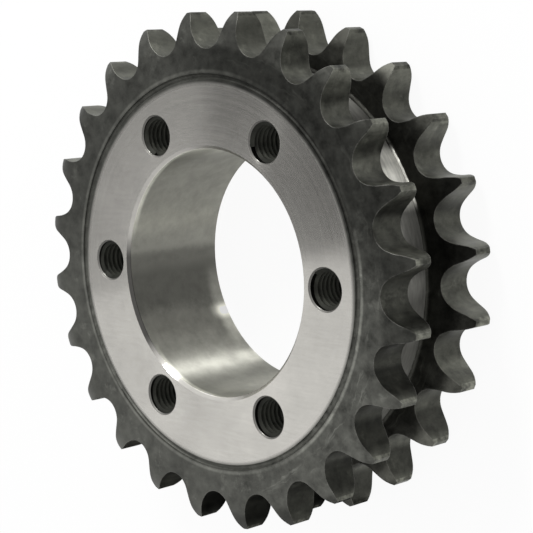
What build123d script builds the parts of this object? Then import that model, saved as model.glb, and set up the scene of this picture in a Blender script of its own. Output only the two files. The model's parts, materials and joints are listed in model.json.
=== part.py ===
from build123d import *

import os
from math import asin, atan2, cos, hypot, pi, radians, sin, sqrt, tan

# Double-strand roller chain sprocket.  All lengths are in millimetres.
# The axis is +Z, the back face lies on z = 0 and one tooth gap is centred on +X.

# Chain
CHAIN_PITCH = 19.05
ROLLER_DIA = 11.91
STRAND_SPACING = 26.11      # centre to centre of the two tooth rows
TEETH = 24

# Tooth rows
TOOTH_WIDTH = 11.7          # across the flat sides of one row
SIDE_RADIUS = 12.6          # rounding that narrows each tooth towards its tip
SIDE_RELIEF = 2.7           # how far each side has drawn in at the tip
CHANNEL_DEPTH = 4.95        # from the tooth roots down to the turned floor between the rows
CHANNEL_FILLET = 1.0

# Hub
BORE_DIA = 75.0
FRONT_CHAMFER = 1.0
BACK_CHAMFER = 0.5
GROOVE_WIDTH = 1.7
GROOVE_DEPTH = 1.0
GROOVE_INSET = 0.875        # ring groove, inward from midway between holes and tooth roots

# Tapped holes, drawn at the major diameter of their thread
HOLE_COUNT = 6
HOLE_DIA = 12.0
HOLE_WALL = 3.0             # left between a hole and the bore
HOLE_CHAMFER = 0.5

# Standard tooth form: lengths as multiples of the roller diameter, angles in degrees
SEAT_DIA = 1.005 * ROLLER_DIA + 0.076
SEAT_ANGLE = 35 + 60 / TEETH
WORK_OFFSET = 0.8 * ROLLER_DIA
WORK_RADIUS = 1.3025 * ROLLER_DIA + 0.038
WORK_ANGLE = 18 - 56 / TEETH
TOP_OFFSET = 1.4 * ROLLER_DIA
TOP_ANGLE = 17 - 64 / TEETH
TIP_FACTOR = 0.6            # tip height in the standard's formula, as a part of the pitch

# Derived sizes
WIDTH = STRAND_SPACING + TOOTH_WIDTH
HALF_TOOTH = pi / TEETH
PITCH_RADIUS = CHAIN_PITCH / 2 / sin(HALF_TOOTH)
ROOT_RADIUS = PITCH_RADIUS - SEAT_DIA / 2
TIP_RADIUS = CHAIN_PITCH * (TIP_FACTOR + 1 / tan(HALF_TOOTH)) / 2
CHANNEL_DIA = 2 * (ROOT_RADIUS - CHANNEL_DEPTH)
SIDE_HEIGHT = sqrt(SIDE_RADIUS**2 - (SIDE_RADIUS - SIDE_RELIEF) ** 2)
FLAT_RADIUS = TIP_RADIUS - SIDE_HEIGHT      # where the flat sides of a row end
HOLE_CIRCLE_DIA = BORE_DIA + 2 * HOLE_WALL + HOLE_DIA
HOLES_OUTER = (HOLE_CIRCLE_DIA + HOLE_DIA) / 2
GROOVE_RADIUS = (HOLES_OUTER + ROOT_RADIUS) / 2 - GROOVE_INSET
FACE_DIA = 2 * GROOVE_RADIUS - GROOVE_WIDTH         # machined front face inside the groove


def check_sizes():
    """Stop with a plain message where the driving sizes can't make a sprocket."""
    if STRAND_SPACING <= TOOTH_WIDTH + 2 * CHANNEL_FILLET:
        raise ValueError("the tooth rows leave no channel between them")
    if 2 * SIDE_RELIEF >= TOOTH_WIDTH:
        raise ValueError("the side rounding leaves no tooth tip")
    if CHANNEL_DIA / 2 + CHANNEL_FILLET >= min(ROOT_RADIUS, FLAT_RADIUS):
        raise ValueError("the channel floor reaches the tooth roots")
    if FACE_DIA / 2 + GROOVE_WIDTH >= min(ROOT_RADIUS, FLAT_RADIUS):
        raise ValueError("the ring groove reaches the teeth")
    if GROOVE_DEPTH <= GROOVE_WIDTH / 2:
        raise ValueError("the ring groove is shallower than its round bottom")
    if HOLE_CIRCLE_DIA + HOLE_DIA + 2 * HOLE_CHAMFER >= FACE_DIA:
        raise ValueError("the tapped holes reach the ring groove")
    if HOLE_CIRCLE_DIA - HOLE_DIA - 2 * HOLE_CHAMFER <= BORE_DIA + 2 * FRONT_CHAMFER:
        raise ValueError("the tapped holes reach the bore")


def polar(radius, angle, centre=(0.0, 0.0)):
    """Point at an angle, in radians, on a circle."""
    return (centre[0] + radius * cos(angle), centre[1] + radius * sin(angle))


def flank_marks():
    """Marks up one flank of the tooth gap that is centred on +X.

    The roller seat runs into the working curve, then a short straight and the
    topping curve, which ends on the tip circle.
    """
    seat, work, top = radians(SEAT_ANGLE), radians(WORK_ANGLE), radians(TOP_ANGLE)
    seat_centre = (PITCH_RADIUS, 0.0)
    work_centre = polar(WORK_OFFSET, seat - pi / 2, seat_centre)
    top_centre = polar(TOP_OFFSET, pi / 2 + HALF_TOOTH, seat_centre)

    seat_start = polar(SEAT_DIA / 2, pi, seat_centre)
    seat_end = polar(SEAT_DIA / 2, seat + pi / 2, seat_centre)
    work_middle = polar(WORK_RADIUS, seat + pi / 2 - work / 2, work_centre)
    work_end = polar(WORK_RADIUS, seat + pi / 2 - work, work_centre)
    straight = TOP_OFFSET * sin(top) - WORK_OFFSET * sin(work)
    top_start = polar(straight, seat - work, work_end)

    top_radius = hypot(top_start[0] - top_centre[0], top_start[1] - top_centre[1])
    start = atan2(top_start[1] - top_centre[1], top_start[0] - top_centre[0])
    stop = start + tip_sweep(top_centre, top_radius, start)
    top_middle = polar(top_radius, (start + stop) / 2, top_centre)
    top_end = polar(top_radius, stop, top_centre)
    return seat_start, seat_end, work_middle, work_end, top_start, top_middle, top_end


def tip_sweep(centre, radius, start):
    """Angle that the topping curve turns through before it meets the tip circle."""
    reach = hypot(*centre)
    bend = (TIP_RADIUS**2 - reach**2 - radius**2) / (2 * reach * radius)
    if abs(bend) >= 1:
        raise ValueError("the topping curve never reaches the tip circle")
    meeting = atan2(centre[1], centre[0]) - pi / 2 + asin(bend)
    return (meeting - start + pi) % (2 * pi) - pi


def gap_edges(angle):
    """Outline of the tooth gap at an angle, with half a tooth land on either side."""
    left = flank_marks()
    right = [(x, -y) for x, y in left]
    land = atan2(left[-1][1], left[-1][0])
    if land >= HALF_TOOTH:
        raise ValueError("the teeth come to a point below the tip circle")

    def turned(point):
        return polar(hypot(*point), atan2(point[1], point[0]) + angle)

    a = [turned(point) for point in right]
    b = [turned(point) for point in left]
    lands = [polar(TIP_RADIUS, angle + side * HALF_TOOTH) for side in (-1, 1)]
    rims = [polar(TIP_RADIUS, angle + side * (HALF_TOOTH + land) / 2) for side in (-1, 1)]
    return [
        ThreePointArc(lands[0], rims[0], a[6]),
        ThreePointArc(a[6], a[5], a[4]),
        Line(a[4], a[3]),
        ThreePointArc(a[3], a[2], a[1]),
        ThreePointArc(a[1], a[0], b[1]),
        ThreePointArc(b[1], b[2], b[3]),
        Line(b[3], b[4]),
        ThreePointArc(b[4], b[5], b[6]),
        ThreePointArc(b[6], rims[1], lands[1]),
    ]


def toothed_bar():
    """Bar with the tooth outline all the way along, for both rows at once."""
    edges = []
    for number in range(TEETH):
        edges += gap_edges(2 * HALF_TOOTH * number)
    return extrude(make_face(Wire(edges)), WIDTH)


def row_section(base):
    """Half section of one row's rim: two side roundings and the land between them."""
    half_turn = asin(SIDE_HEIGHT / SIDE_RADIUS) / 2
    middle = FLAT_RADIUS + SIDE_RADIUS * sin(half_turn)
    drawn_in = SIDE_RADIUS * (1 - cos(half_turn))
    top = base + TOOTH_WIDTH
    low, high = (TIP_RADIUS, base + SIDE_RELIEF), (TIP_RADIUS, top - SIDE_RELIEF)
    return [
        ThreePointArc((FLAT_RADIUS, base), (middle, base + drawn_in), low),
        Line(low, high),
        ThreePointArc(high, (middle, top - drawn_in), (FLAT_RADIUS, top)),
    ]


def channel_section():
    """Half section of the channel between the rows, with a fillet in each corner."""
    floor, fillet = CHANNEL_DIA / 2, CHANNEL_FILLET
    low, high = TOOTH_WIDTH, STRAND_SPACING
    inset = fillet * (1 - sqrt(0.5))
    return [
        Line((FLAT_RADIUS, low), (floor + fillet, low)),
        ThreePointArc((floor + fillet, low), (floor + inset, low + inset), (floor, low + fillet)),
        Line((floor, low + fillet), (floor, high - fillet)),
        ThreePointArc((floor, high - fillet), (floor + inset, high - inset), (floor + fillet, high)),
        Line((floor + fillet, high), (FLAT_RADIUS, high)),
    ]


def face_section():
    """Half section of the front face, with its round-bottomed ring groove."""
    inner = FACE_DIA / 2
    outer = inner + GROOVE_WIDTH
    bottom = WIDTH - GROOVE_DEPTH
    wall = bottom + GROOVE_WIDTH / 2
    return [
        Line((FLAT_RADIUS, WIDTH), (outer, WIDTH)),
        Line((outer, WIDTH), (outer, wall)),
        ThreePointArc((outer, wall), ((inner + outer) / 2, bottom), (inner, wall)),
        Line((inner, wall), (inner, WIDTH)),
        Line((inner, WIDTH), (BORE_DIA / 2 + FRONT_CHAMFER, WIDTH)),
    ]


def bore_section():
    """Half section of the bore with its two chamfers, from front to back."""
    bore = BORE_DIA / 2
    return [
        Line((bore + FRONT_CHAMFER, WIDTH), (bore, WIDTH - FRONT_CHAMFER)),
        Line((bore, WIDTH - FRONT_CHAMFER), (bore, BACK_CHAMFER)),
        Line((bore, BACK_CHAMFER), (bore + BACK_CHAMFER, 0)),
    ]


def turned_blank():
    """Everything that is turned: both rims, the channel, the faces and the bore."""
    edges = [Line((BORE_DIA / 2 + BACK_CHAMFER, 0), (FLAT_RADIUS, 0))]
    edges += row_section(0)
    edges += channel_section()
    edges += row_section(STRAND_SPACING)
    edges += face_section()
    edges += bore_section()
    return revolve(make_face(Plane.XZ * Wire(edges)), Axis.Z)


def hole_cutter():
    """One through hole with a chamfer at either end."""
    radius, mouth = HOLE_DIA / 2, HOLE_DIA / 2 + HOLE_CHAMFER
    upright = (Align.CENTER, Align.CENTER, Align.MIN)
    shaft = Cylinder(radius, WIDTH, align=upright)
    back = Cone(mouth, radius, HOLE_CHAMFER, align=upright)
    front = Pos(0, 0, WIDTH - HOLE_CHAMFER) * Cone(radius, mouth, HOLE_CHAMFER, align=upright)
    return shaft + back + front


def sprocket():
    """The finished sprocket, one solid from one turned blank."""
    body = turned_blank() & toothed_bar()
    cutter = hole_cutter()
    for place in PolarLocations(HOLE_CIRCLE_DIA / 2, HOLE_COUNT):
        body -= place * cutter
    solid = body.solid()
    solid.label = "sprocket"
    return solid


check_sizes()
os.makedirs("parts", exist_ok=True)
export_step(sprocket(), "parts/sprocket.step")
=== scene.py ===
import json
import math

import bmesh
import bpy
from bpy.props import FloatProperty, FloatVectorProperty, IntProperty, PointerProperty
from mathutils import Matrix, Vector


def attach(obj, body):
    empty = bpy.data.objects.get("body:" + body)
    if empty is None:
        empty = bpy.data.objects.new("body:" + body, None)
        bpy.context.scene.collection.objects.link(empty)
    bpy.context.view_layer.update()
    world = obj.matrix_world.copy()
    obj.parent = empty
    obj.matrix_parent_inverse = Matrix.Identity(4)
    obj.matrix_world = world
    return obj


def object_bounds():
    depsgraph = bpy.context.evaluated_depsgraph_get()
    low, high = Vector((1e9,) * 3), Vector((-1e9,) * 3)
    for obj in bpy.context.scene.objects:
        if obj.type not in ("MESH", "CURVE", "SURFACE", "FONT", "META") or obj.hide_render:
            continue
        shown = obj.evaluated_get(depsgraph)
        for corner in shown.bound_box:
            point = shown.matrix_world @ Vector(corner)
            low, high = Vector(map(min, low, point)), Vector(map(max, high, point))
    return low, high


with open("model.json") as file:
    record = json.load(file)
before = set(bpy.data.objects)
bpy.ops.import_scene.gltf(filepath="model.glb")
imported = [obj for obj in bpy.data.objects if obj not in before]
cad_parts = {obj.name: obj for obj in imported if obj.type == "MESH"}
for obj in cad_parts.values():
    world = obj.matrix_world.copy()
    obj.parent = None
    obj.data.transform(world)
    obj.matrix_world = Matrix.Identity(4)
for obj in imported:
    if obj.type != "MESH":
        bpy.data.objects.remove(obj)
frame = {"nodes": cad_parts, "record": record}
CAD_LOW, CAD_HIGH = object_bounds()

bl_info = {
    "name": "Double-strand chain sprocket",
    "version": (1, 0, 0),
    "blender": (4, 5, 0),
    "location": "View3D > Sidebar > Sprocket",
    "description": "Finishes the sprocket's steel, cuts its threads and sets up its studio",
    "category": "Object",
}

NODE = "sprocket"
MM = 0.001
MOUNTS = {mount["name"]: mount for mount in frame["record"]["mounts"]}
PATTERN = MOUNTS["tapped_holes"]["dims"]
BORE_RADIUS = MOUNTS["bore"]["dims"]["r_mm"] * MM
HOLE_RADIUS = PATTERN["hole_r_mm"] * MM
HOLE_CIRCLE_RADIUS = PATTERN["pcd_mm"] / 2 * MM
HOLE_COUNT = PATTERN["count"]
HOLE_STEP = math.tau / HOLE_COUNT
WIDTH = CAD_HIGH.z - CAD_LOW.z
TOOTH_COUNT = 24
TIP_RADIUS = CAD_HIGH.x
CENTRE = Vector((0.0, 0.0, CAD_LOW.z + WIDTH / 2))
SENSOR_WIDTH = 36.0
CAMERA_PLACE = Vector((0.37260, 0.07831, 0.38764))
CAMERA_RIGHT = Vector((0.7095, -0.0160, -0.7045))
CAMERA_UP = Vector((-0.0929, 0.9889, -0.1160))


class SteelSettings(bpy.types.PropertyGroup):
    """Finishes of the turned, hobbed and hardened steel."""

    turned_colour: FloatVectorProperty(
        name="Turned face",
        description="Bright steel of the machined face",
        subtype="COLOR",
        default=(0.637, 0.62, 0.58),
    )
    bore_colour: FloatVectorProperty(
        name="Bore",
        description="Turned steel of the bore",
        subtype="COLOR",
        default=(0.337, 0.335, 0.298),
    )
    channel_colour: FloatVectorProperty(
        name="Channel floor",
        description="Turned steel at the floor of the channel between the rows",
        subtype="COLOR",
        default=(0.19, 0.188, 0.172),
    )
    skin_colour: FloatVectorProperty(
        name="Hardened skin",
        description="Dark, mottled skin on the sides of the tooth rows",
        subtype="COLOR",
        default=(0.105, 0.106, 0.095),
    )
    # Near-black: painted shade where the rows face each other.
    inner_painted_shade_colour: FloatVectorProperty(
        name="Channel sides",
        description="Near-black sides of the rows where they face each other",
        subtype="COLOR",
        default=(0.03, 0.03, 0.026),
    )
    flank_colour: FloatVectorProperty(
        name="Tooth flanks",
        description="Hobbed steel of the tooth gaps",
        subtype="COLOR",
        default=(0.143, 0.145, 0.122),
    )
    hole_colour: FloatVectorProperty(
        name="Holes",
        description="Oily steel inside the tapped holes",
        subtype="COLOR",
        default=(0.027, 0.027, 0.024),
    )
    worn_colour: FloatVectorProperty(
        name="Worn edges",
        description="Bare steel where edges are rubbed bright",
        subtype="COLOR",
        default=(0.42, 0.41, 0.385),
    )
    face_radius: FloatProperty(
        name="Face radius",
        description="Where the machined face ends at the ring groove",
        unit="LENGTH",
        default=58.0 * MM,
    )
    groove_width: FloatProperty(
        name="Groove width",
        description="Width of the ring groove",
        unit="LENGTH",
        default=1.7 * MM,
    )
    channel_radius: FloatProperty(
        name="Channel radius",
        description="From the axis to the floor of the channel between the rows",
        unit="LENGTH",
        default=62.0 * MM,
    )
    root_radius: FloatProperty(
        name="Root radius",
        description="From the axis to the bottom of the tooth gaps",
        unit="LENGTH",
        default=66.95 * MM,
    )


class ThreadSettings(bpy.types.PropertyGroup):
    """Screw threads of the tapped holes."""

    pitch: FloatProperty(
        name="Pitch",
        description="Height of one turn of the thread",
        unit="LENGTH",
        default=1.75 * MM,
    )
    depth: FloatProperty(
        name="Depth",
        description="How far the thread stands in from the wall of the hole",
        unit="LENGTH",
        default=0.95 * MM,
    )
    chamfer: FloatProperty(
        name="Chamfer",
        description="Width of the chamfer at the mouths of the hole",
        unit="LENGTH",
        default=0.5 * MM,
    )
    steps: IntProperty(
        name="Steps",
        description="Steps in one turn of the thread",
        default=32,
        min=12,
    )
    colour: FloatVectorProperty(
        name="Thread",
        description="Cut steel of the threads",
        subtype="COLOR",
        default=(0.034, 0.035, 0.029),
    )


class StageSettings(bpy.types.PropertyGroup):
    """Floor, lights and camera."""

    ambient: FloatProperty(
        name="Ambient light",
        description="Strength of the soft light from all around",
        default=0.75,
        min=0.0,
    )
    key_light: FloatProperty(
        name="Key light",
        description="Brightness of the key lamp's panel",
        default=30.0,
        min=0.0,
    )
    lens: FloatProperty(
        name="Lens",
        description="Focal length of the camera",
        unit="CAMERA",
        default=116.76,
    )


class NodeSheet:
    """Builds one node tree, one call per node."""

    def __init__(self, tree):
        self.tree = tree
        tree.nodes.clear()

    def add(self, kind, *links, **settings):
        node = self.tree.nodes.new(kind)
        for name, value in settings.items():
            setattr(node, name, value)
        for socket, value in links:
            self.plug(node, socket, value)
        return node

    def plug(self, node, socket, value):
        target = node.inputs[socket]
        if isinstance(value, bpy.types.NodeSocket):
            self.tree.links.new(value, target)
        else:
            target.default_value = value

    def maths(self, operation, a, b=None):
        links = [(0, a)] if b is None else [(0, a), (1, b)]
        return self.add("ShaderNodeMath", *links, operation=operation).outputs[0]

    def step(self, value, low, high):
        """0 below low, 1 above high, and smooth between."""
        node = self.add(
            "ShaderNodeMapRange",
            ("Value", value),
            ("From Min", low),
            ("From Max", high),
            interpolation_type="SMOOTHSTEP",
        )
        return node.outputs["Result"]

    def fit(self, value, low, high, to_low, to_high):
        node = self.add(
            "ShaderNodeMapRange",
            ("Value", value),
            ("From Min", low),
            ("From Max", high),
            ("To Min", to_low),
            ("To Max", to_high),
        )
        return node.outputs["Result"]

    def spread(self, noise, low, high):
        """Most of a noise's range stretched from low to high."""
        return self.fit(noise, 0.3, 0.7, low, high)

    def times(self, a, b, *more):
        value = self.maths("MULTIPLY", a, b)
        return self.times(value, *more) if more else value

    def plus(self, a, b, *more):
        value = self.maths("ADD", a, b)
        return self.plus(value, *more) if more else value

    def inverse(self, a):
        return self.maths("SUBTRACT", 1.0, a)

    def band(self, value, low, high, soft):
        """1 between low and high, and 0 outside, with soft ends."""
        rise = self.step(self.maths("SUBTRACT", value, low), -soft, soft)
        fall = self.step(self.maths("SUBTRACT", value, high), -soft, soft)
        return self.times(rise, self.inverse(fall))

    def sector(self, azimuth, low, high, soft):
        """1 between two azimuths in degrees, and 0 outside, with soft ends."""
        return self.band(azimuth, math.radians(low), math.radians(high), math.radians(soft))

    def turned_past(self, azimuth, low, high):
        """0 below the first azimuth in degrees, 1 above the second, and smooth between."""
        return self.step(azimuth, math.radians(low), math.radians(high))

    def blend(self, factor, a, b):
        """Colour a where factor is 0, and colour b where it is 1."""
        node = self.add("ShaderNodeMix", data_type="RGBA")
        self.plug(node, 0, factor)
        self.plug(node, 6, a if isinstance(a, bpy.types.NodeSocket) else (*a, 1.0))
        self.plug(node, 7, b if isinstance(b, bpy.types.NodeSocket) else (*b, 1.0))
        return node.outputs[2]

    def mix(self, factor, a, b):
        """Number a where factor is 0, and number b where it is 1."""
        node = self.add("ShaderNodeMix", data_type="FLOAT")
        self.plug(node, 0, factor)
        self.plug(node, 2, a)
        self.plug(node, 3, b)
        return node.outputs[0]

    def where(self, factor, number):
        """1 where factor is 0, and number where it is 1."""
        return self.mix(factor, 1.0, number)

    def shade(self, colour, amount):
        """Colour times a number."""
        node = self.add("ShaderNodeVectorMath", (0, colour), operation="SCALE")
        self.plug(node, "Scale", amount)
        return node.outputs[0]

    def noise(self, vector, scale, detail=3.0, roughness=0.5):
        node = self.add(
            "ShaderNodeTexNoise",
            ("Vector", vector),
            ("Scale", scale),
            ("Detail", detail),
            ("Roughness", roughness),
        )
        return node.outputs["Fac"]

    def vector(self, x, y, z):
        return self.add("ShaderNodeCombineXYZ", (0, x), (1, y), (2, z)).outputs[0]

    def length(self, vector):
        return self.add("ShaderNodeVectorMath", (0, vector), operation="LENGTH").outputs["Value"]

    def towards(self, x, y, azimuth):
        """Distance from the axis, measured towards an azimuth in degrees."""
        a = math.radians(azimuth)
        return self.plus(self.times(x, math.cos(a)), self.times(y, math.sin(a)))

    def side(self, x, y, azimuth, low, high):
        """0 to 1 from low to high, in millimetres from the axis towards an azimuth in degrees."""
        return self.step(self.towards(x, y, azimuth), low * MM, high * MM)


def steel_material(settings):
    """One steel with its machined, hobbed and hardened areas laid out by radius and height."""
    material = bpy.data.materials.new("sprocket_steel")
    material.use_nodes = True
    s = NodeSheet(material.node_tree)
    place = s.add("ShaderNodeTexCoord").outputs["Object"]
    x, y, z = s.add("ShaderNodeSeparateXYZ", (0, place)).outputs
    radius = s.length(s.vector(x, y, 0.0))
    angle = s.maths("ARCTAN2", y, x)
    normal = s.add("ShaderNodeNewGeometry").outputs["Normal"]
    tilt = s.add("ShaderNodeSeparateXYZ", (0, normal)).outputs[2]
    upright = s.inverse(s.step(s.maths("ABSOLUTE", tilt), 0.15, 0.3))

    # Areas of the front: machined face, ring groove, the rim round it and the hardened skin.
    groove_outer = settings.face_radius + settings.groove_width
    front = s.step(z, WIDTH - 2.0 * MM, WIDTH - 1.5 * MM)
    # Towards +Y the skin starts 0.8 mm further in: painted shade at the edge of the face.
    face_end = s.plus(radius, s.times(s.step(y, -20.0 * MM, 20.0 * MM), 0.8 * MM))
    past_face = s.step(face_end, settings.face_radius - 1.3 * MM, settings.face_radius + 0.5 * MM)
    past_hub = s.step(radius, settings.channel_radius + 0.1 * MM, settings.channel_radius + 0.5 * MM)
    in_groove = s.band(radius, settings.face_radius - 0.15 * MM, groove_outer, 0.1 * MM)
    groove = s.times(front, in_groove)
    on_rim = s.band(radius, groove_outer + 0.2 * MM, groove_outer + 1.1 * MM, 0.4 * MM)
    rim = s.times(front, on_rim)
    # Walls: bore, channel floor, tooth gaps, and the sides of the rows that face each other.
    bore = s.inverse(s.step(radius, BORE_RADIUS + 0.05 * MM, BORE_RADIUS + 0.2 * MM))
    middle = s.band(z, WIDTH * 0.3, WIDTH * 0.7, 0.5 * MM)
    channel = s.times(
        middle,
        upright,
        s.band(radius, BORE_RADIUS * 1.3, settings.channel_radius + 0.3 * MM, 0.2 * MM),
    )
    flank = s.times(
        upright,
        s.step(radius, settings.root_radius - 0.9 * MM, settings.root_radius - 0.4 * MM),
    )
    towards_middle = s.times(tilt, s.maths("SIGN", s.maths("SUBTRACT", WIDTH / 2, z)))
    past_floor = s.step(radius, settings.channel_radius - 0.2 * MM, settings.channel_radius)
    inner = s.times(s.step(towards_middle, 0.1, 0.3), past_floor)
    hardened = s.maths(
        "MAXIMUM",
        s.mix(front, past_hub, past_face),
        s.maths("MAXIMUM", inner, groove),
    )
    # Holes: the angle is folded, so that one hole stands for all.
    folded = s.maths("PINGPONG", s.plus(angle, math.tau), HOLE_STEP / 2)
    from_hole = s.length(s.vector(
        s.maths("SUBTRACT", s.times(radius, s.maths("COSINE", folded)), HOLE_CIRCLE_RADIUS),
        s.times(radius, s.maths("SINE", folded)),
        0.0,
    ))
    hole = s.inverse(s.step(from_hole, HOLE_RADIUS + 0.03 * MM, HOLE_RADIUS + 0.12 * MM))

    # The mottled skin: broad clouds, smaller blotches and a fine grain.
    clouds = s.noise(place, 60.0, 4.0, 0.6)
    blotches = s.noise(place, 260.0, 5.0, 0.65)
    grain = s.noise(place, 1500.0, 3.0, 0.6)
    uneven = s.mix(
        s.step(x, 0.0, 45.0 * MM),
        s.spread(blotches, -0.26, 0.3),
        s.spread(blotches, -0.42, 0.5),
    )
    smudges = s.step(s.noise(place, 150.0, 5.0, 0.7), 0.57, 0.7)
    mottle = s.plus(s.spread(clouds, 0.74, 1.16), uneven, s.times(smudges, 0.5))
    # Light runs where the quench oil dried, along the ring below the tooth gaps.
    drift = s.spread(clouds, -1.5 * MM, 1.5 * MM)
    runs = s.noise(s.vector(s.plus(radius, drift), s.times(angle, 6.0 * MM), 0.0), 520.0, 3.0, 0.7)
    dried = s.times(
        s.step(x, -10.0 * MM, 40.0 * MM),
        s.band(radius, 62.5 * MM, 67.5 * MM, 1.5 * MM),
    )
    runs = s.times(s.step(runs, 0.52, 0.7), dried)
    mottle = s.plus(mottle, s.times(runs, 0.9))
    # Turning lines run round: noise along the radius on the faces, and along the height on walls.
    rings = s.noise(s.vector(radius, 0.0, 0.0), 900.0, 4.0, 0.7)
    turns = s.noise(s.vector(0.0, 0.0, z), 700.0, 4.0, 0.7)
    lines = s.mix(upright, rings, turns)

    # A patch of the channel floor gets a painted highlight, in streaks that run round. It ends lower
    # down on one side, and two stretches beside it get painted shade.
    round_part = s.maths("MODULO", s.plus(angle, math.tau), math.tau)
    streaks = s.noise(s.vector(s.times(angle, 0.012), 0.0, z), 900.0, 3.0, 0.6)
    painted_sheen_patch = s.sector(round_part, 21.0, 33.0, 2.0)
    painted_sheen_end = s.times(
        s.sector(round_part, 33.0, 37.5, 2.0),
        s.inverse(s.step(z, 16.0 * MM, 21.0 * MM)),
    )
    painted_dim = s.sector(round_part, 46.0, 60.0, 3.0)
    shaded = s.times(
        s.sector(round_part, 3.5, 18.0, 3.0),
        s.inverse(s.step(z, 17.0 * MM, 21.0 * MM)),
    )
    painted_sheen_patch = s.plus(painted_sheen_patch, painted_sheen_end)
    painted_sheen_and_streaks = s.times(
        s.where(painted_sheen_patch, 5.0),
        s.where(painted_dim, 0.55),
        s.where(shaded, 0.6),
        s.spread(streaks, 0.75, 1.2),
    )

    # Painted shade on the machined face: darker towards its edge and towards one side.
    face_painted_shade = s.times(
        s.fit(radius, BORE_RADIUS, settings.face_radius, 1.06, 0.95),
        s.fit(s.towards(x, y, 60.0), -45.0 * MM, 55.0 * MM, 1.03, 0.84),
    )
    turned = s.blend(bore, tuple(settings.turned_colour), tuple(settings.bore_colour))
    turned = s.blend(channel, turned, s.shade(tuple(settings.channel_colour), painted_sheen_and_streaks))
    brushed = s.noise(s.vector(s.times(x, 0.1), y, 0.0), 1100.0, 4.0, 0.7)
    marks = s.mix(upright, s.spread(brushed, -0.04, 0.04), 0.0)
    # The machined face, with brushed marks, and the walls turned on the same machine.
    turned_grain_and_painted_light = s.plus(s.spread(clouds, 0.9, 1.07), s.spread(lines, -0.03, 0.03), marks)
    stain = s.times(bore, s.fit(blotches, 0.35, 0.65, -0.12, 0.06))
    turned_grain_and_painted_light = s.times(s.plus(turned_grain_and_painted_light, stain), s.mix(upright, face_painted_shade, 1.0))
    # Painted reflections in the bore: one side is darker, and the walls beside it are brighter.
    wavy = s.plus(round_part, s.spread(blotches, -0.03, 0.03))
    painted_dark_reflection = s.times(
        s.turned_past(wavy, 174.0, 179.0),
        s.inverse(s.turned_past(wavy, 208.0, 242.0)),
    )
    painted_darkest_reflection = s.sector(wavy, 185.0, 205.0, 4.0)
    top_painted_sheen = s.sector(round_part, 50.0, 109.0, 12.0)
    low_painted_sheen = s.sector(round_part, 259.0, 300.0, 7.0)
    painted_sheen = s.plus(s.times(top_painted_sheen, 1.3), s.times(low_painted_sheen, 0.65), 1.0)
    bore_painted_light = s.mix(painted_dark_reflection, painted_sheen, 0.57)
    # Painted highlights in the bore: a spot, the back edge, the front lip and a streak at the back.
    spot = s.times(
        s.sector(round_part, 208.0, 214.0, 2.5),
        s.inverse(s.step(z, 4.0 * MM, 9.0 * MM)),
    )
    back_edge_highlight = s.times(
        s.sector(round_part, 192.0, 226.0, 8.0),
        s.inverse(s.step(z, 2.5 * MM, 6.5 * MM)),
    )
    front_lip_highlight = s.times(
        s.plus(
            s.sector(round_part, 112.0, 160.0, 12.0),
            s.sector(round_part, 227.0, 270.0, 10.0),
        ),
        s.step(z, WIDTH - 2.9 * MM, WIDTH - 1.5 * MM),
    )
    back_streak_highlight = s.times(
        s.sector(round_part, 236.0, 245.0, 2.5),
        s.inverse(s.step(z, 4.0 * MM, 12.0 * MM)),
    )
    bore_painted_light = s.times(
        bore_painted_light,
        s.where(back_streak_highlight, 1.5),
        s.where(painted_darkest_reflection, 0.68),
        s.where(spot, 2.7),
        s.where(back_edge_highlight, 2.4),
        s.where(front_lip_highlight, 2.3),
    )
    turned_grain_and_painted_light = s.times(turned_grain_and_painted_light, s.where(bore, bore_painted_light))
    # The chamfer of the bore: painted shade makes it duller on the upper side and much darker on the
    # left, and below it is left bright.
    chamfer = s.times(
        front,
        s.inverse(upright),
        s.band(radius, BORE_RADIUS, BORE_RADIUS + 1.05 * MM, 0.1 * MM),
    )
    chamfer_painted_dim = s.sector(round_part, 30.0, 174.0, 4.0)
    chamfer_painted_shade = s.times(
        s.turned_past(round_part, 164.0, 178.0),
        s.inverse(s.turned_past(round_part, 216.0, 235.0)),
    )
    chamfer_painted_shade_tone = s.mix(chamfer_painted_shade, s.where(chamfer_painted_dim, 0.69), 0.12)
    turned_grain_and_painted_light = s.times(turned_grain_and_painted_light, s.where(chamfer, chamfer_painted_shade_tone))
    turned = s.shade(turned, turned_grain_and_painted_light)

    skin = s.blend(inner, tuple(settings.skin_colour), tuple(settings.inner_painted_shade_colour))
    skin = s.blend(flank, skin, tuple(settings.flank_colour))
    # Painted shade makes one side of the rows darker than the other, on the ring and on the teeth,
    # and darker towards +Y.
    # Some tips get painted light and some painted shade against the teeth beside them.
    teeth = s.step(radius, settings.root_radius - 0.5 * MM, settings.root_radius + 2.5 * MM)
    ring_painted_shade = s.times(
        s.where(s.side(x, y, 50.0, 34.0, 58.0), 0.46),
        s.where(s.side(x, y, -28.0, 50.0, 62.0), 0.84),
    )
    teeth_painted_light = s.times(
        s.mix(s.side(x, y, 22.0, 46.0, 66.0), 0.95, 0.4),
        s.where(s.side(x, y, 112.0, 58.0, 70.0), 1.3),
        s.where(s.side(x, y, 82.0, 70.0, 75.0), 0.55),
        s.where(s.side(x, y, -72.0, 70.0, 74.0), 0.5),
        s.where(s.times(front, s.side(x, y, 52.0, 71.0, 76.0)), 1.6),
    )
    painted_side_light = s.times(
        s.mix(teeth, ring_painted_shade, teeth_painted_light),
        s.mix(s.step(y, -25.0 * MM, 30.0 * MM), 1.08, 0.72),
    )
    painted_side_light = s.mix(flank, painted_side_light, 1.0)
    # The rim gets a painted highlight, brightest on one side.
    rim_painted_highlight = s.mix(
        s.side(x, y, -20.0, 46.0, 56.0),
        s.mix(s.step(x, 0.0, 40.0 * MM), 1.8, 1.2),
        2.4,
    )
    # The groove is lightened a little, as painted light against its shade.
    skin_mottle_and_painted_light = s.times(mottle, painted_side_light, s.where(rim, rim_painted_highlight), s.where(groove, 1.15))
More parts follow.
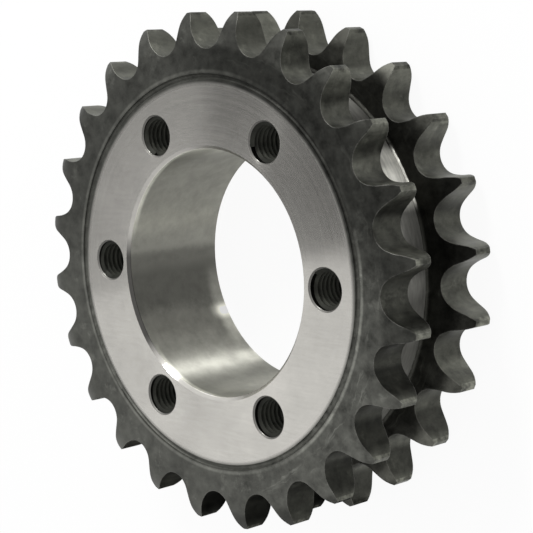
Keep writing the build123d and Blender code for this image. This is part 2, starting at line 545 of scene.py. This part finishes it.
    # Tooth gaps: the seats, the lands at the tips and the walls between them. Painted shade darkens
    # the seats towards +X and the gaps of the front row, and the lands get random tone, painted
    # light on one side and painted shade on another.
    front_row = s.step(z, WIDTH / 2, WIDTH * 0.6)
    root_painted_shade = s.fit(x, 35.0 * MM, 66.0 * MM, 0.75, s.mix(front_row, 0.5, 0.4))
    land = s.step(radius, TIP_RADIUS - 0.5 * MM, TIP_RADIUS - 0.2 * MM)
    land_grain_and_painted_light = s.times(
        s.fit(blotches, 0.35, 0.65, 0.45, 1.35),
        s.mix(s.side(x, y, 60.0, 30.0, 55.0), 1.5, s.mix(front_row, 0.62, 1.0)),
        s.where(s.times(front_row, s.side(x, y, 75.0, 73.0, 77.0)), 0.55),
    )
    past_seat = s.step(radius, settings.root_radius, settings.root_radius + 4.5 * MM)
    gap_grain_and_painted_shade = s.times(
        s.mix(past_seat, root_painted_shade, 1.0),
        s.where(land, land_grain_and_painted_light),
        s.where(front_row, 0.9),
    )
    hobbing = s.noise(s.vector(x, y, s.times(z, 0.3)), 420.0, 4.0, 0.65)
    # Painted shade on the gaps towards one side, strongest in the front row.
    low_side = s.side(x, y, -35.0, 45.0, 66.0)
    gap_grain_and_painted_shade = s.times(
        gap_grain_and_painted_shade,
        s.spread(hobbing, 0.82, 1.18),
        s.where(low_side, s.mix(front_row, 0.92, 0.72)),
    )
    # Painted shade on one wall of some gaps, and on the gaps towards -Y. Across a gap, 0 is the
    # middle of a tooth and
    # 1 the middle of the next one round.
    across_gap = s.maths("FRACT", s.plus(s.times(round_part, TOOTH_COUNT / math.tau), 0.5))
    lower_wall = s.times(
        s.band(across_gap, 0.08, s.mix(front_row, 0.28, 0.34), 0.05),
        s.mix(
            front_row,
            s.side(x, y, -60.0, 54.0, 64.0),
            s.side(x, y, -50.0, 42.0, 55.0),
        ),
    )
    upper_wall = s.times(
        s.band(
            across_gap,
            s.mix(front_row, 0.68, 0.73),
            s.fit(round_part, math.radians(52.0), math.radians(62.0), 0.85, 0.93),
            0.06,
        ),
        s.side(x, y, 45.0, 50.0, 62.0),
    )
    bottom = s.times(
        s.band(across_gap, 0.08, 0.42, 0.05),
        s.sector(round_part, 250.8, 280.0, 1.5),
    )
    wall_painted_shade = s.times(
        s.where(lower_wall, 0.35),
        s.where(upper_wall, s.mix(front_row, 0.55, 0.42)),
        s.where(bottom, 0.3),
    )
    # More painted shade on the front row's gaps towards one side.
    gap_grain_and_painted_shade = s.times(
        gap_grain_and_painted_shade,
        s.mix(land, wall_painted_shade, 1.0),
        s.where(s.times(front_row, s.side(x, y, 112.0, 68.0, 73.0)), 0.7),
    )
    skin_mottle_and_painted_light = s.times(skin_mottle_and_painted_light, s.where(flank, gap_grain_and_painted_shade))
    # Painted shade makes the sides that face each other dark, and painted light makes them lighter
    # towards the tips above and below.
    tip_painted_light = s.plus(
        s.fit(s.towards(x, y, 15.0), 65.0 * MM, 73.5 * MM, 2.2, 0.5),
        s.times(s.side(x, y, 52.0, 70.0, 76.0), 2.0),
    )
    tip_painted_light = s.times(tip_painted_light, s.where(s.side(x, y, 75.0, 70.0, 76.0), 0.4))
    inner_painted_shade = s.times(
        s.mix(s.side(x, y, 60.0, 55.0, 68.0), 1.8, 2.9),
        s.mix(s.step(radius, 71.5 * MM, 76.0 * MM), 1.0, tip_painted_light),
    )
    skin_mottle_and_painted_light = s.times(skin_mottle_and_painted_light, s.where(inner, inner_painted_shade))
    colour = s.blend(hardened, turned, s.shade(skin, skin_mottle_and_painted_light))
    # The fillet at the foot of the patch takes its painted highlight too.
    foot = s.times(
        painted_sheen_patch,
        middle,
        s.band(radius, settings.channel_radius, settings.channel_radius + 0.55 * MM, 0.1 * MM),
    )
    foot_painted_sheen = s.shade(tuple(settings.channel_colour), s.times(painted_sheen_and_streaks, 0.66))
    colour = s.blend(foot, colour, foot_painted_sheen)
    # The holes are near-black, and painted shade darkens the chamfers of their mouths.
    mouth = s.times(
        s.inverse(hole),
        s.band(from_hole, HOLE_RADIUS, HOLE_RADIUS + 0.5 * MM, 0.06 * MM),
    )
    colour = s.shade(colour, s.where(mouth, 0.28))
    colour = s.blend(hole, colour, tuple(settings.hole_colour))

    # Worn edges are found where a rounded normal leaves the true one.
    rounded = s.add("ShaderNodeBevel", ("Radius", 0.45 * MM), samples=6).outputs[0]
    along = s.add("ShaderNodeVectorMath", (0, rounded), (1, normal), operation="DOT_PRODUCT")
    edge = s.step(s.inverse(along.outputs["Value"]), 0.01, 0.16)
    hub_edges = s.inverse(s.step(radius, groove_outer, groove_outer + 0.5 * MM))
    wear = s.times(edge, s.fit(blotches, 0.4, 0.65, 0.1, 1.0), s.inverse(hub_edges))
    rubbed_edge = s.mix(s.step(radius, 73.5 * MM, 77.0 * MM), 0.27, 0.46)
    colour = s.blend(s.times(wear, rubbed_edge), colour, tuple(settings.worn_colour))

    rough_turned = s.plus(s.mix(upright, 0.18, 0.42), s.spread(lines, -0.02, 0.02))
    rough_skin = s.plus(s.mix(flank, 0.53, 0.48), s.spread(blotches, -0.08, 0.08))
    rough = s.mix(hardened, rough_turned, rough_skin)
    rough = s.mix(s.maths("MAXIMUM", mouth, groove), rough, 0.62)
    cut_across = s.times(s.inverse(hardened), s.inverse(hole), s.inverse(mouth))

    pitted = s.plus(s.times(blotches, 0.6), s.times(grain, 0.3))
    height = s.mix(hardened, s.times(lines, 0.06), pitted)
    bump = s.add(
        "ShaderNodeBump",
        ("Strength", 0.35),
        ("Distance", 0.12 * MM),
        ("Height", height),
        ("Normal", s.blend(hub_edges, rounded, normal)),
    )
    shader = s.add(
        "ShaderNodeBsdfPrincipled",
        ("Base Color", colour),
        ("Metallic", 1.0),
        ("Roughness", rough),
        ("Anisotropic", cut_across),
        ("Anisotropic Rotation", 0.25),
        ("Normal", bump.outputs[0]),
        ("Tangent", s.add("ShaderNodeTangent", direction_type="RADIAL", axis="Z").outputs[0]),
    )
    s.add("ShaderNodeOutputMaterial", ("Surface", shader.outputs[0]))
    return material


def thread_material(colour):
    """Dark cut steel with oil in its roots."""
    material = bpy.data.materials.new("thread_steel")
    material.use_nodes = True
    s = NodeSheet(material.node_tree)
    place = s.add("ShaderNodeTexCoord").outputs["Object"]
    oil = s.noise(place, 320.0, 4.0, 0.6)
    z = s.add("ShaderNodeSeparateXYZ", (0, place)).outputs[2]
    depth = s.maths("MINIMUM", s.maths("SUBTRACT", z, CAD_LOW.z), s.maths("SUBTRACT", CAD_HIGH.z, z))
    # Painted shade near the mouths and painted light deeper in, so that the hole looks evenly dark.
    oil_and_painted_light = s.times(s.spread(oil, 0.6, 1.35), s.fit(depth, 0.0, 9.0 * MM, 0.5, 2.6))
    grain = s.noise(place, 1800.0, 2.0, 0.5)
    bump = s.add("ShaderNodeBump", ("Strength", 0.3), ("Distance", 0.05 * MM), ("Height", grain))
    shader = s.add(
        "ShaderNodeBsdfPrincipled",
        ("Base Color", s.shade(tuple(colour), oil_and_painted_light)),
        ("Metallic", 0.3),
        ("Specular IOR Level", 0.12),
        ("Roughness", s.spread(oil, 0.5, 0.65)),
        ("Normal", bump.outputs[0]),
    )
    s.add("ShaderNodeOutputMaterial", ("Surface", shader.outputs[0]))
    return material


def wind_thread(bm, settings):
    """Winds one right-hand thread up the Z axis, with its outer edge sunk in the hole's wall."""
    root = HOLE_RADIUS + 0.1 * MM
    crest = HOLE_RADIUS - settings.depth
    half_root, half_crest = settings.pitch * 0.44, settings.pitch * 0.125
    low = CAD_LOW.z + 0.3 * MM + half_root
    turns = (WIDTH - 0.6 * MM - 2 * half_root) / settings.pitch
    count = round(turns * settings.steps)
    profile = ((root, -half_root), (crest, -half_crest), (crest, half_crest), (root, half_root))
    corners = [bm.verts.new((radius, 0.0, low + height)) for radius, height in profile]
    section = bm.faces.new(corners)
    bmesh.ops.spin(
        bm,
        geom=[section, *section.edges, *corners],
        cent=(0.0, 0.0, 0.0),
        axis=(0.0, 0.0, 1.0),
        dvec=(0.0, 0.0, settings.pitch / settings.steps),
        angle=math.tau * count / settings.steps,
        steps=count,
    )
    # The thread runs out in the chamfers at both mouths.
    for vert in bm.verts:
        flat = vert.co.to_2d()
        depth = min(vert.co.z - CAD_LOW.z, CAD_HIGH.z - vert.co.z)
        least = HOLE_RADIUS + settings.chamfer - depth
        if flat.length < least:
            flat *= least / flat.length
            vert.co.xy = flat


class SPROCKET_OT_finish_steel(bpy.types.Operator):
    """Give the sprocket its turned, hobbed and hardened steel"""

    bl_idname = "sprocket.finish_steel"
    bl_label = "Finish the Steel"

    def execute(self, context):
        steel = steel_material(context.scene.sprocket_steel)
        for slot in frame["nodes"][NODE].material_slots:
            slot.material = steel
        return {"FINISHED"}


class SPROCKET_OT_cut_threads(bpy.types.Operator):
    """Cut the screw threads of the tapped holes"""

    bl_idname = "sprocket.cut_threads"
    bl_label = "Cut the Threads"

    def execute(self, context):
        settings = context.scene.sprocket_threads
        one = bmesh.new()
        wind_thread(one, settings)
        bmesh.ops.recalc_face_normals(one, faces=one.faces)
        bmesh.ops.translate(one, vec=(HOLE_CIRCLE_RADIUS, 0.0, 0.0), verts=one.verts)
        for face in one.faces:
            face.smooth = True
        ring = bpy.data.meshes.new("hole_threads")
        every = bmesh.new()
        turn = Matrix.Rotation(HOLE_STEP, 3, "Z")
        for _ in range(HOLE_COUNT):
            one.to_mesh(ring)
            every.from_mesh(ring)
            bmesh.ops.rotate(one, cent=(0.0, 0.0, 0.0), matrix=turn, verts=one.verts)
        every.to_mesh(ring)
        one.free()
        every.free()
        ring.set_sharp_from_angle(angle=math.radians(30.0))
        ring.materials.append(thread_material(settings.colour))
        threads = bpy.data.objects.new("hole_threads", ring)
        context.scene.collection.objects.link(threads)
        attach(threads, "root")
        return {"FINISHED"}


def direction(azimuth, elevation):
    a, e = math.radians(azimuth), math.radians(elevation)
    return Vector((math.cos(e) * math.cos(a), math.cos(e) * math.sin(a), math.sin(e)))


def facing(location, target):
    """Matrix of a lamp or card at a location that faces a target."""
    turn = (Vector(target) - Vector(location)).to_track_quat("-Z", "Y")
    return Matrix.Translation(location) @ turn.to_matrix().to_4x4()


def add_lamp(name, azimuth, elevation, distance, width, height, radiance):
    data = bpy.data.lights.new(name, "AREA")
    data.shape = "RECTANGLE"
    data.size, data.size_y = width, height
    data.energy = radiance * width * height * 4.0
    lamp = bpy.data.objects.new(name, data)
    lamp.matrix_world = facing(CENTRE + distance * direction(azimuth, elevation), CENTRE)
    bpy.context.scene.collection.objects.link(lamp)


def add_panel(name, width, height, place, strength):
    """Plain panel that only reflections see."""
    mesh = bpy.data.meshes.new(name)
    bm = bmesh.new()
    bmesh.ops.create_grid(bm, x_segments=1, y_segments=1, size=0.5)
    bmesh.ops.scale(bm, vec=(width, height, 1.0), verts=bm.verts)
    bm.to_mesh(mesh)
    bm.free()
    panel = bpy.data.objects.new(name, mesh)
    panel.matrix_world = place
    bpy.context.scene.collection.objects.link(panel)
    panel.visible_camera = False
    panel.visible_diffuse = False
    panel.visible_shadow = False
    material = bpy.data.materials.new(name)
    material.use_nodes = True
    s = NodeSheet(material.node_tree)
    glow = s.add("ShaderNodeEmission", ("Strength", strength)).outputs[0]
    s.add("ShaderNodeOutputMaterial", ("Surface", glow))
    mesh.materials.append(material)


def add_screen(name, azimuth, distance, width, low, high, strength):
    """Panel that stands upright round the object, from one elevation up to another."""
    bottom = distance * math.tan(math.radians(low))
    top = distance * math.tan(math.radians(high))
    foot = distance * direction(azimuth, 0.0)
    spot = foot + Vector((0.0, 0.0, (bottom + top) / 2))
    add_panel(name, width, top - bottom, facing(spot, (0.0, 0.0, spot.z)), strength)


def seen_directly(s):
    """1 for camera, glossy and transmission rays, and 0 for the rest."""
    rays = s.add("ShaderNodeLightPath").outputs
    mirrored = s.maths("MAXIMUM", rays["Is Glossy Ray"], rays["Is Transmission Ray"])
    return s.maths("MAXIMUM", rays["Is Camera Ray"], mirrored)


class SPROCKET_OT_set_stage(bpy.types.Operator):
    """Lay the pale floor and place the studio lamps, the backdrop and the camera"""

    bl_idname = "sprocket.set_stage"
    bl_label = "Set the Stage"

    def execute(self, context):
        scene = context.scene
        settings = scene.sprocket_stage
        scene.view_settings.view_transform = "Standard"

        world = bpy.data.worlds.new("white_studio")
        scene.world = world
        world.use_nodes = True
        s = NodeSheet(world.node_tree)
        strength = s.mix(seen_directly(s), settings.ambient, 1.0)
        sky = s.add("ShaderNodeBackground", ("Color", (1.0, 1.0, 1.0, 1.0)), ("Strength", strength))
        s.add("ShaderNodeOutputWorld", ("Surface", sky.outputs[0]))

        mesh = bpy.data.meshes.new("floor")
        bm = bmesh.new()
        bmesh.ops.create_grid(bm, x_segments=1, y_segments=1, size=3.0)
        bm.to_mesh(mesh)
        bm.free()
        floor = bpy.data.objects.new("floor", mesh)
        floor.location.z = CAD_LOW.z - 0.05 * MM
        scene.collection.objects.link(floor)
        material = bpy.data.materials.new("floor")
        material.use_nodes = True
        s = NodeSheet(material.node_tree)
        matt = s.add("ShaderNodeBsdfDiffuse", ("Color", (0.9, 0.9, 0.9, 1.0))).outputs[0]
        glow = s.add("ShaderNodeEmission", ("Strength", 1.0)).outputs[0]
        share = s.times(seen_directly(s), 0.93)
        mixed = s.add("ShaderNodeMixShader", (0, share), (1, matt), (2, glow)).outputs[0]
        s.add("ShaderNodeOutputMaterial", ("Surface", mixed))
        mesh.materials.append(material)

        add_lamp("key_lamp", 98.0, 30.0, 0.9, 0.15, 0.3, settings.key_light)
        add_screen("dark_screen", 175.0, 2.5, 1.53, 43.5, 70.0, 0.07)
        add_screen("grey_screen", 175.0, 2.49, 1.52, 5.0, 43.5, 0.42)
        # A dark panel on the floor that only reflections see: painted shade for the floor next to
        # the teeth towards -Y.
        spot = Vector((-0.03, -0.187, CAD_LOW.z - 0.03 * MM))
        add_panel("floor_shade_panel", 0.16, 0.23, Matrix.Translation(spot), 0.04)

        data = bpy.data.cameras.new("camera")
        data.lens = settings.lens
        data.sensor_width = SENSOR_WIDTH
        camera = bpy.data.objects.new("camera", data)
        back = CAMERA_RIGHT.cross(CAMERA_UP).normalized()
        up = back.cross(CAMERA_RIGHT).normalized()
        turn = Matrix((CAMERA_RIGHT.normalized(), up, back)).transposed().to_4x4()
        camera.matrix_world = Matrix.Translation(CAMERA_PLACE) @ turn
        scene.collection.objects.link(camera)
        scene.camera = camera
        return {"FINISHED"}


class SPROCKET_PT_panel(bpy.types.Panel):
    """Buttons and settings of the sprocket"""

    bl_label = "Sprocket"
    bl_idname = "SPROCKET_PT_panel"
    bl_space_type = "VIEW_3D"
    bl_region_type = "UI"
    bl_category = "Sprocket"

    def draw(self, context):
        for operator, group in STEPS:
            box = self.layout.box()
            box.operator(operator.bl_idname)
            settings = getattr(context.scene, group)
            for name in settings.bl_rna.properties.keys():
                if name not in {"rna_type", "name"}:
                    box.prop(settings, name)


STEPS = (
    (SPROCKET_OT_finish_steel, "sprocket_steel"),
    (SPROCKET_OT_cut_threads, "sprocket_threads"),
    (SPROCKET_OT_set_stage, "sprocket_stage"),
)
GROUPS = {
    "sprocket_steel": SteelSettings,
    "sprocket_threads": ThreadSettings,
    "sprocket_stage": StageSettings,
}
CLASSES = (*GROUPS.values(), *(operator for operator, _ in STEPS), SPROCKET_PT_panel)


def register():
    for cls in CLASSES:
        bpy.utils.register_class(cls)
    for name, group in GROUPS.items():
        setattr(bpy.types.Scene, name, PointerProperty(type=group))


def unregister():
    for name in GROUPS:
        delattr(bpy.types.Scene, name)
    for cls in reversed(CLASSES):
        bpy.utils.unregister_class(cls)


def main():
    register()
    bpy.ops.sprocket.finish_steel()
    bpy.ops.sprocket.cut_threads()
    bpy.ops.sprocket.set_stage()


if __name__ == "__main__":
    main()
